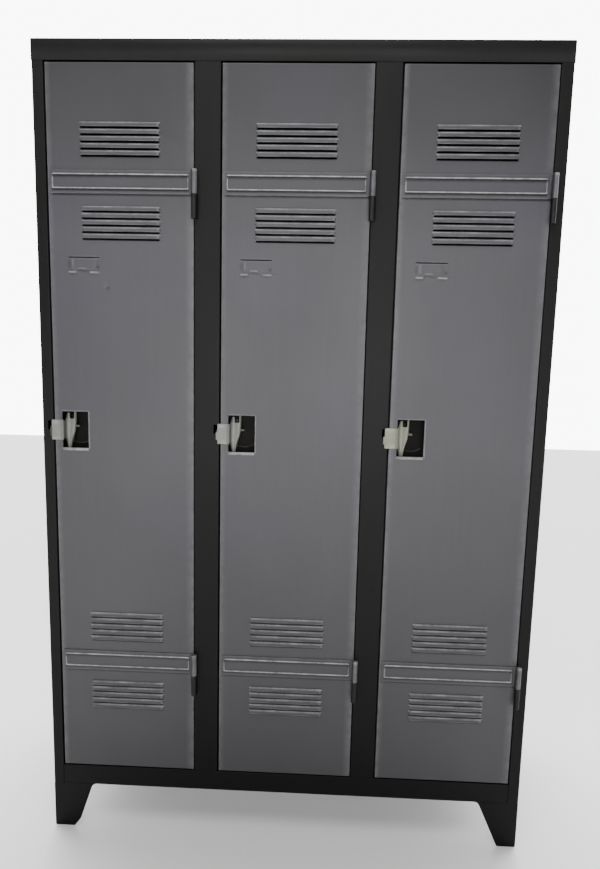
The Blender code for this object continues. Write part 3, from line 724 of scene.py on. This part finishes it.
def hinge_strap(door, level):
    """A strap with its raised bead, its end rolled into the barrel, and the barrel's cap."""
    name = "hinge_strap_" + door + "_" + level
    low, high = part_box(name)
    pin_low, pin_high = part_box("hinge_pin_" + door + "_" + level)
    axis = (pin_low + pin_high) / 2
    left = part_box("door_panel_" + door)[0].x
    flat_end = axis.x - KNUCKLE_R - 0.0004
    length = flat_end - low.x
    bead_low = (left + BEAD_X[0], low.z + BEAD_Z[0])
    bead_high = (left + BEAD_X[1], low.z + BEAD_Z[1])

    steps = [BEAD_W * i / 8 for i in range(-3, 12)]
    marks_x = [bead_low[0] + step - low.x for step in steps]
    marks_x += [bead_high[0] - step - low.x for step in steps]
    marks_x += [length - step for step in (0.0036, 0.0026, 0.0018)]
    marks_z = [BEAD_Z[0] + step for step in steps] + [BEAD_Z[1] - step for step in steps]
    columns = folded_run(length, marks_x, 0.02, STRAP_T, STRAP_BEND, low.x)
    rows = folded_run(STRAP_H, marks_z, 0.006, STRAP_T, STRAP_BEND, low.z)

    def press(x, z):
        return ridge(bead_distance(x, z, bead_low, bead_high), BEAD_W / 2, BEAD_RISE)

    # Painted highlight on the bead, strongest on its level runs and faint low on its lower run;
    # edges lightened.
    def wear_and_highlight(x, z):
        rim = 0.25 * ease(1 - min(z - low.z, low.z + STRAP_H - z, x - low.x) / 0.0012)
        up = ease((z - bead_low[1]) / 0.002) if z < bead_low[1] + BEAD_W else 1.0
        upright = bead_low[1] + BEAD_W < z < bead_high[1] - BEAD_W
        rubbed_and_lit = 1.3 if not upright else 0.6 if x > bead_high[0] - BEAD_W else 0.85
        return max(rubbed_and_lit * up * press(x, z) / BEAD_RISE, rim)

    def grime_and_shade(x, z):
        """Painted shade in the crease under each run of the bead and beside the knuckle."""
        neck = ease(1.3 - abs(flat_end - 0.0012 - x) / 0.0026)
        if not bead_low[0] + 0.001 < x < bead_high[0] - 0.001:
            return neck
        creases = (bead_low[1], bead_high[1] - BEAD_W)
        return max(neck, max(ease(1.6 - abs(bottom - 0.0010 - z) / 0.0018) for bottom in creases))

    bm = pressed_sheet(
        columns, rows, FACE_Y - STRAP_T - GAP, press, lambda x, z: False, wear_and_highlight, grime_and_shade)
    back = [edge for edge in bm.edges if edge.is_boundary]
    bmesh.ops.holes_fill(bm, edges=back, sides=0)

    leaf = [
        Vector((flat_end - 0.003, FACE_Y - STRAP_T / 2 - GAP)),
        Vector((flat_end + 0.0022, FACE_Y - 0.0018)),
    ]
    curl_r = KNUCKLE_R - STRAP_T / 2
    for i in range(25):
        angle = math.radians(100 - 300 * i / 24)
        leaf.append(Vector((axis.x + curl_r * math.cos(angle), axis.y + curl_r * math.sin(angle))))
    add_prism(bm, stroke(leaf[:4], STRAP_T), "Z", low.z + 0.0004, low.z + STRAP_H - 0.0004)
    heights = (low.z, high.z - 0.007, high.z - 0.003, high.z - 0.0003)
    add_prism(bm, stroke(leaf[2:], STRAP_T), "Z", *heights)
    cap_r = KNUCKLE_R - STRAP_T - 0.0001
    cap = [(0.0002, high.z - 0.004), (cap_r, high.z - 0.004), (cap_r, high.z - 0.0012)]
    cap += [(cap_r * math.cos(a), high.z - 0.0012 + 0.0011 * math.sin(a)) for a in (0.5, 1.0, 1.5)]
    add_turned(bm, cap, axis, 24)
    worn_and_lit = bm.verts.layers.float["wear_and_highlight"]
    dirty_and_shaded = bm.verts.layers.float["grime_and_shade"]
    # Barrel: painted highlight towards its top, painted shade on its left side and towards its back.
    for vert in bm.verts:
        if vert.co.x > flat_end - 0.0002:
            vert[worn_and_lit] = 0.22 + 0.75 * ease(1 - (high.z - vert.co.z) / 0.006)
            shade = 0.9 * ease((axis.x - 0.25 * KNUCKLE_R - vert.co.x) / (0.5 * KNUCKLE_R))
            vert[dirty_and_shaded] = max(shade, 0.55 * ease((axis.y - 0.5 * KNUCKLE_R - vert.co.y) / -0.006))
    piece = "strap_" + door + "_" + level
    return finish_mesh(piece, bm, SLATE, "door_" + door, [name], 30)


def frame_knuckle(door, level):
    """The frame's half of a hinge: a bored barrel on a web that is folded back to the frame."""
    name = "frame_knuckle_" + door + "_" + level
    low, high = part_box(name)
    pin_low, pin_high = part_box("hinge_pin_" + door + "_" + level)
    axis = (pin_low + pin_high) / 2
    inner = pin_high.x - axis.x + 0.0002
    end_r = KNUCKLE_R - KNUCKLE_CHAMFER
    profile = [
        (inner, low.z), (end_r, low.z), (KNUCKLE_R, low.z + KNUCKLE_CHAMFER),
        (KNUCKLE_R, high.z - KNUCKLE_CHAMFER), (end_r, high.z), (inner, high.z),
    ]
    bm = bmesh.new()
    worn_and_lit = bm.verts.layers.float.new("wear_and_highlight")
    dirty_and_shaded = bm.verts.layers.float.new("grime_and_shade")
    add_turned(bm, profile, axis)
    # Painted highlight down the barrel's front, painted shade on both its sides.
    for vert in bm.verts:
        vert[worn_and_lit] = 0.6 * ease((axis.y - vert.co.y) / KNUCKLE_R * 3.2 - 2.0)
        vert[dirty_and_shaded] = ease(abs(vert.co.x - axis.x) / KNUCKLE_R * 2.4 - 1.2)
    web = [
        Vector((axis.x + KNUCKLE_R - 0.0012, axis.y)),
        Vector((axis.x + KNUCKLE_R - 0.0012, axis.y + 0.004)),
        Vector((axis.x + KNUCKLE_R - 0.0004, axis.y + 0.0075)),
        Vector((axis.x + KNUCKLE_R + 0.0018, FACE_Y - 0.0002)),
    ]
    add_prism(bm, stroke(web, 0.002), "Z", low.z + 0.002, high.z - 0.002)
    piece = "knuckle_" + door + "_" + level
    return finish_mesh(piece, bm, CHARCOAL, "carcase", [name], 30)


# --- latches --------------------------------------------------------------------------------------
def set_paint(bm, verts, wear_and_highlight, grime_and_shade):
    """Sets the paint's wear and painted highlight, and its dirt and painted shade, at some points.
    """
    worn_and_lit = bm.verts.layers.float["wear_and_highlight"]
    dirty_and_shaded = bm.verts.layers.float["grime_and_shade"]
    for vert in verts:
        vert[worn_and_lit] = wear_and_highlight
        vert[dirty_and_shaded] = grime_and_shade


def latch_plate(bm, left, front, start):
    """The latch's finger plate: a dished sheet with curled edges, wear and painted highlight along
    its edges.
    """
    columns = (
        (start, 0.0012), (start + 0.0012, 0.0003), (start + 0.0034, 0.0), (0.000, 0.0003),
        (0.006, 0.0003), (0.0110, 0.0001), (0.0148, 0.0002), (0.0178, 0.0006), (0.0195, 0.0013),
    )
    rows = (
        (PLATE_Z[0], 0.0012), (0.9595, 0.0002), (0.9625, 0.0), (0.9700, 0.0003), (0.9810, 0.0004),
        (0.9920, 0.0003), (0.9990, 0.0), (1.0022, 0.0002), (PLATE_Z[1], 0.0012),
    )
    sections = []
    for z, row_back in rows:
        corner = 0.0022 if z == PLATE_Z[0] else 0.0030 if z == PLATE_Z[1] else 0.0
        across = []
        for x, column_back in columns:
            inset = corner if x == start else 0.0
            across.append((left + x + inset, front + max(row_back, column_back)))
        sections.append((z, across))
    outside = add_loft(bm, sections, PLATE_T)[0]
    for j, line in enumerate(outside):
        for i, vert in enumerate(line):
            rubbed_and_lit = 0.30
            if j in (1, 2) and 1 <= i <= 6:
                rubbed_and_lit = 1.0
            elif j in (6, 7) and 1 <= i <= 4:
                rubbed_and_lit = 0.85
            # Rows near top and bottom get wear and painted highlight; the right part, turning back,
            # painted shade.
            set_paint(bm, [vert], rubbed_and_lit if i < 6 else 0.10, 0.0 if i < 6 else 0.28)


def latch_blade(bm, left, front, top):
    """Blade folded along two ridges, forked at its top, that narrows to a tip at the sill."""
    depths = (0.0022, -0.0003, 0.0010, 0.0, 0.0028)
    widths = (
        (WINDOW_Z[0] - 0.0025, (0.0240, 0.0263, 0.0288, 0.0312, 0.0325)),
        (0.9500, (0.0222, 0.0266, 0.0298, 0.0326, 0.0338)),
        (0.9610, (0.0190, 0.0269, 0.0308, 0.0345, 0.0364)),
        (0.9770, (0.0188, 0.0272, 0.0325, 0.0392, 0.0415)),
        (0.9895, (0.0188, 0.0274, 0.0335, 0.0410, 0.0436)),
        (1.0056, (0.0196, 0.0275, 0.0335, 0.0416, 0.0444)),
    )
    left_prong = (
        (1.0050, (0.0205, 0.0274, 0.0305), (0.0022, -0.0003, 0.0006)),
        (1.0188, (0.0246, 0.0272, 0.0294), (0.0014, 0.0, 0.0006)),
    )
    right_prong = (
        (1.0050, (0.0400, 0.0418, 0.0444), (0.0003, 0.0, 0.0028)),
        (top, (0.0404, 0.0420, 0.0448), (0.0004, 0.0002, 0.0024)),
    )
    body = [(z, across, depths) for z, across in widths]
    parts = (      # each with wear and painted highlight, then painted shade, across from left to right
        (body, ((0.0, 0.6), (1.0, 0.0), (0.15, 0.25), (0.7, 0.0), (0.0, 0.6))),
        (left_prong, ((0.0, 0.6), (0.8, 0.0), (0.1, 0.2))),
        (right_prong, ((0.2, 0.2), (0.5, 0.0), (0.0, 0.6))),
    )
    # Painted highlight on the ridges, painted shade on the flanks and the prongs' outer sides.
    for rows, paints in parts:
        sections = [
            (z, [(left + x, front + y) for x, y in zip(across, back)])
            for z, across, back in rows
        ]
        for grid in add_loft(bm, sections, BLADE_T):
            for line in grid:
                for vert, (wear_and_highlight, grime_and_shade) in zip(line, paints):
                    set_paint(bm, [vert], wear_and_highlight, grime_and_shade)


def latch(door):
    """A latch: finger plate, ear, blade and nub, and the neck and tail that slide in the guide."""
    name = "latch_" + door
    low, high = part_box(name)
    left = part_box("door_panel_" + door)[0].x
    plate_y = low.y
    front = FACE_Y + DOOR_SHEET + BLADE_BACK + GAP
    bm = bmesh.new()
    bm.verts.layers.float.new("wear_and_highlight")
    bm.verts.layers.float.new("grime_and_shade")
    start = -0.0100 if door == "right" else -0.0070
    reach = low.x if door == "right" else low.x + 0.0025
    latch_plate(bm, left, plate_y, start)
    ear = [
        (left + start + 0.0006, 0.9670), (left + start + 0.0006, 0.9860),
        (reach + 0.0004, 0.9848), (reach, 0.9840), (reach, 0.9690), (reach + 0.0004, 0.9682),
    ]
    ear = add_prism(bm, ear, "Y", plate_y + 0.0006, plate_y + 0.0020)
    # The left door's ear is darkened.
    set_paint(bm, ear, 0.2, 0.95 if door == "left" else 0.0)
    latch_blade(bm, left, front, high.z)

    nub = [
        (0.0415, 0.9874), (0.0508, 0.9872), (0.0520, 0.9882),
        (0.0520, 0.9902), (0.0508, 0.9914), (0.0415, 0.9924),
    ]
    nub = add_prism(bm, [(left + x, z) for x, z in nub], "Y", front + 0.0001, front + 0.0016)
    # The nub is darkened.
    set_paint(bm, nub, 0.0, 0.70)
    jog = [
        Vector((left + 0.0176, plate_y + 0.0013)), Vector((left + 0.0187, plate_y + 0.0016)),
        Vector((left + 0.0193, plate_y + 0.0030)), Vector((left + 0.0193, front - 0.0010)),
        Vector((left + 0.0195, front + 0.0020)), Vector((left + 0.0206, front + 0.0026)),
    ]
    jog = add_prism(bm, stroke(jog, JOG_T), "Z", 0.961, 1.002)
    # Painted shade on the jog between plate and blade.
    set_paint(bm, jog, 0.0, 0.55)
    tongue = [
        (left - 0.010, plate_y + 0.0010), (left - 0.008, plate_y + 0.0010),
        (left - 0.008, FACE_Y + 0.008), (left - 0.010, FACE_Y + 0.008),
    ]
    hidden = add_prism(bm, tongue, "Z", 0.9825, 0.9895)
    guide_low, guide_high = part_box("latch_guide_" + door)
    middle = (guide_low.x + guide_high.x) / 2
    back = high.y
    neck = [
        (middle - 0.0018, front + 0.002), (middle + 0.0018, front + 0.002),
        (middle + 0.0018, back - 0.001), (middle - 0.0018, back - 0.001),
    ]
    hidden += add_prism(bm, neck, "Z", 0.963, 0.987)
    tail = [
        (middle - 0.0048, back - 0.0028), (middle + 0.0048, back - 0.0028),
        (middle + 0.0048, back), (middle - 0.0048, back),
    ]
    hidden += add_prism(bm, tail, "Z", 0.962, 0.988)
    # Painted shade on the hidden tongue, neck and tail.
    set_paint(bm, hidden, 0.0, 0.9)
    paint = YELLOWED if door == "right" else CREAM
    return finish_mesh(
        "latch_piece_" + door, bm, paint, "latch_slide_" + door, [name], 32)


def pocket_bead(door):
    """Shallow curved bead pressed in the back of the latch pocket."""
    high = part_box("latch_pocket_" + door)[1]
    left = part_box("door_panel_" + door)[0].x
    path = []
    for i in range(13):
        t = i / 12
        height = 0.9515 - 0.0115 * t + 0.0170 * t * t
        path.append(Vector((left + 0.039 + 0.034 * t, high.y - 0.0012, height)))
    bm = bmesh.new()
    add_tube(bm, path, 0.0014)
    # The whole bead takes the lighter worn colour as painted highlight.
    worn_and_lit = bm.verts.layers.float.new("wear_and_highlight")
    for vert in bm.verts:
        vert[worn_and_lit] = 1.0
    return finish_mesh("pocket_bead_" + door, bm, POCKET_SHADE, "door_" + door)


# --- carcase --------------------------------------------------------------------------------------
def top_cap():
    """The top, a tray of sheet with rounded folds, turned upside down."""
    low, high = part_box("top_cap")
    bm = bmesh.new()
    bmesh.ops.create_cube(bm, size=1)
    bmesh.ops.scale(bm, vec=high - low, verts=bm.verts)
    bmesh.ops.translate(bm, vec=(high + low) / 2, verts=bm.verts)
    under = min(bm.faces, key=lambda face: face.calc_center_median().z)
    bmesh.ops.delete(bm, geom=[under], context="FACES_ONLY")
    folds = [edge for edge in bm.edges if not edge.is_boundary]
    bmesh.ops.bevel(bm, geom=folds, offset=0.0022, segments=3, profile=0.5, affect="EDGES")
    obj = finish_mesh("cap_shell", bm, CHARCOAL, "carcase", ["top_cap"], 50)
    return thickened(obj, CAP_SHEET)


def foot_outline(low, high, bent):
    """One wing of a foot: (distance from the corner, height). bent gives the knocked toe."""
    top_w = high.x - low.x
    rail = high.z + GAP
    slope = (top_w - TOE_W) / (high.z - low.z)
    fillet = []
    for i in range(7):
        t = i / 6
        start = Vector((top_w - 0.0085 * slope, rail - 0.0085))
        end = Vector((top_w + 0.0060, rail))
        corner = Vector((top_w, rail))
        fillet.append(start * (1 - t) ** 2 + corner * 2 * t * (1 - t) + end * t * t)
    toe = [(0, 0), (TOE_W, 0)]
    radii = [0.003, 0.004]
    if bent:
        toe = [(0, 0), (TOE_W + 0.0030, 0), (TOE_W + 0.0180, 0.0195), (TOE_W + 0.0255, 0.0410)]
        radii = [0.003, 0.002, 0.012, 0.020]
    outline = toe + [tuple(point) for point in fillet] + [(0, rail)]
    return rounded(outline, radii + [0] * (len(fillet) + 1), 3)


def foot(end, side):
    """Folded foot: two tapered wings with a rounded toe, the toe plate and the top flange."""
    name = "foot_" + end + "_" + side
    low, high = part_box(name)
    corner_x = low.x if side == "left" else high.x
    corner_y = low.y if end == "front" else high.y
    inward_x = 1 if side == "left" else -1
    inward_y = 1 if end == "front" else -1
    bm = bmesh.new()
    front = foot_outline(low, high, name == "foot_front_left")
    front = [(corner_x + inward_x * a, low.z + z) for a, z in front]
    add_prism(bm, front, "Y", corner_y, corner_y + inward_y * FOOT_T)
    flank = foot_outline(low, high, False)
    flank = [(corner_y + inward_y * a, low.z + z) for a, z in flank]
    add_prism(bm, flank, "X", corner_x, corner_x + inward_x * FOOT_T)
    inner = (corner_x + inward_x * 0.001, corner_y + inward_y * 0.001)
    pad_w = 0.038
    toe = [(0, 0), (pad_w, 0), (pad_w * 0.55, pad_w * 0.55), (0, pad_w)]
    toe = [(inner[0] + inward_x * a, inner[1] + inward_y * b) for a, b in toe]
    add_prism(bm, toe, "Z", low.z, low.z + FOOT_T)
    reach, flange_w = high.x - low.x - 0.003, 0.022
    flange = [
        (0, 0), (reach, 0), (reach, flange_w),
        (flange_w, flange_w), (flange_w, reach), (0, reach),
    ]
    flange = [(inner[0] + inward_x * a, inner[1] + inward_y * b) for a, b in flange]
    add_prism(bm, flange, "Z", high.z - FOOT_T, high.z)
    shell = "foot_shell_" + end + "_" + side
    return finish_mesh(shell, bm, CHARCOAL, "carcase", [name], 30)


def dress(names, material):
    """Gives carried-over CAD nodes their finish."""
    for name in names:
        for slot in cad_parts[name].material_slots:
            slot.material = material


def dress_carcase():
    """Finishes for everything that keeps its CAD shape."""
    for sheet in ("side_panel", "mullion", "partition"):
        dress([sheet + "_left", sheet + "_right"], CHARCOAL)
    dress(["floor_tray", "back_panel", "bottom_rail"], CHARCOAL)
    for door in DOORS:
        dress(["hat_shelf_" + door], CHARCOAL)
        # Guides, rails and hooks take near-black zinc and pockets near-black paint, as painted
        # shade.
        dress(["coat_rail_" + door, "coat_hook_" + door, "latch_guide_" + door], SHADE_DARKENED_ZINC)
        dress(["latch_pocket_" + door], POCKET_SHADE)
        dress(["door_stiffener_" + door], SLATE)
        dress(["hinge_pin_" + door + "_" + level for level in LEVELS], ZINC)


# --- studio ---------------------------------------------------------------------------------------
def floor():
    bm = bmesh.new()
    bmesh.ops.create_grid(bm, x_segments=8, y_segments=8, size=6)
    mesh = bpy.data.meshes.new("floor")
    bm.to_mesh(mesh)
    bm.free()
    mesh.materials.append(floor_paint())
    obj = bpy.data.objects.new("floor", mesh)
    bpy.context.collection.objects.link(obj)


def area_light(name, place, aim, size, power):
    data = bpy.data.lights.new(name, "AREA")
    data.shape = "RECTANGLE"
    data.size, data.size_y = size
    data.energy = power
    obj = bpy.data.objects.new(name, data)
    obj.location = place
    obj.rotation_euler = (Vector(aim) - Vector(place)).to_track_quat("-Z", "Y").to_euler()
    obj.visible_camera = False
    bpy.context.collection.objects.link(obj)


BACKDROP = 9.0              # strength of the wall of light behind the cabinet
AMBIENT = 0.35              # and of the rest of the room


def studio():
    """Two soft lamps in front, and a bright backdrop that fades away overhead and underfoot."""
    area_light(
        "overhead", place=(-0.2, -1.5, 3.1), aim=(0, -0.25, 1.1), size=(1.8, 1.2), power=34)
    area_light(
        "front", place=(0.05, -1.9, 1.25), aim=(0.05, -0.25, 1.1), size=(1.4, 1.0), power=11.5)
    world = bpy.data.worlds.new("studio")
    world.use_nodes = True
    tree = world.node_tree
    place = add_node(tree, "ShaderNodeTexCoord").outputs["Generated"]
    parts = add_node(tree, "ShaderNodeSeparateXYZ", {0: place}).outputs
    behind = between(tree, parts["Y"], 0.0, 0.6)
    level = between(tree, maths(tree, "ABSOLUTE", parts["Z"], 0.0), 0.65, 0.95, 1.0, 0.0)
    strength = maths(tree, "MULTIPLY", maths(tree, "MULTIPLY", behind, level), BACKDROP)
    strength = maths(tree, "ADD", strength, AMBIENT)
    background = tree.nodes["Background"]
    background.inputs["Color"].default_value = (1, 1, 1, 1)
    tree.links.new(strength, background.inputs["Strength"])
    bpy.context.scene.world = world


def camera():
    """A phone held a little above half height, tilted slightly down."""
    data = bpy.data.cameras.new("camera")
    data.sensor_width = 36
    data.sensor_fit = "AUTO"
    data.lens = 27.05
    data.shift_x = 0.0102
    obj = bpy.data.objects.new("camera", data)
    obj.location = (0.0557, -1.673, 1.1889)
    obj.rotation_euler = [math.radians(angle) for angle in (81.866, -1.211, 2.379)]
    bpy.context.collection.objects.link(obj)
    bpy.context.scene.camera = obj


camera()
studio()
floor()
dress_carcase()
top_cap()
for end in ("front", "rear"):
    for side in ("left", "right"):
        foot(end, side)
for door in DOORS:
    door_skin(door)
    latch(door)
    pocket_bead(door)
    for level in LEVELS:
        hinge_strap(door, level)
        frame_knuckle(door, level)
